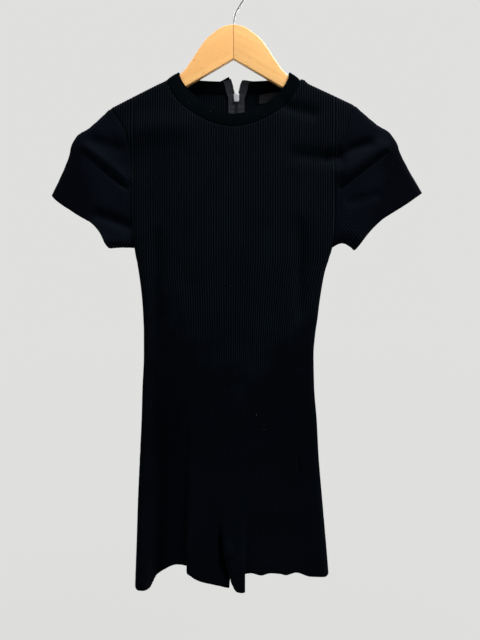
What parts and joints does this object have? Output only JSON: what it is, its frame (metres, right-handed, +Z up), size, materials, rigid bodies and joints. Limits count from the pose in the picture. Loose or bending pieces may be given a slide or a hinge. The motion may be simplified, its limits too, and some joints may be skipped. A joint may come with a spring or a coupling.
{
  "type": "romper on hanger",
  "caption": "Short-sleeved rib-knit romper with crew neckband, short flared legs and a zip down the back, hung on a flat wooden hanger with a wire hook.",
  "frame": {"origin": "inner top of the hook's bend, where a rail or peg carries the hanger", "axes": "+Z up the garment, +Y out of its back, +X to the right as seen from the front"},
  "size_m": [0.5693, 0.0755, 0.9335],
  "materials": {
    "knit": "fine rib knit, matt",
    "neckband_knit": "doubled rib knit, matt",
    "zip_tape": "woven tape",
    "zip_chain": "satin",
    "zip_metal": "satin nickel",
    "label": "woven satin, bare",
    "wood": "clear satin varnish",
    "hook_steel": "bright drawn wire"
  },
  "bodies": {
    "garment": {"front_left": "knit", "front_right": "knit", "back_left": "knit", "back_right": "knit", "sleeve_left": "knit", "sleeve_right": "knit", "neckband": "neckband_knit", "zip_tape_left": "zip_tape", "zip_tape_right": "zip_tape", "zip_chain": "zip_chain", "zip_slider": "zip_metal", "zip_stop": "zip_metal", "neck_label": "label", "hanger_left": "wood", "hanger_right": "wood", "hanger_hook": "hook_steel"},
    "zip_pull": {"zip_pull": "zip_metal"}
  },
  "joints": [
    {"name": "zip_pull_swing", "type": "hinge", "parent": "garment", "child": "zip_pull", "pos_m": [0.0045, 0.01254, -0.17694], "axis": [1, 0, 0], "range_deg": [0, 165]}
  ]
}
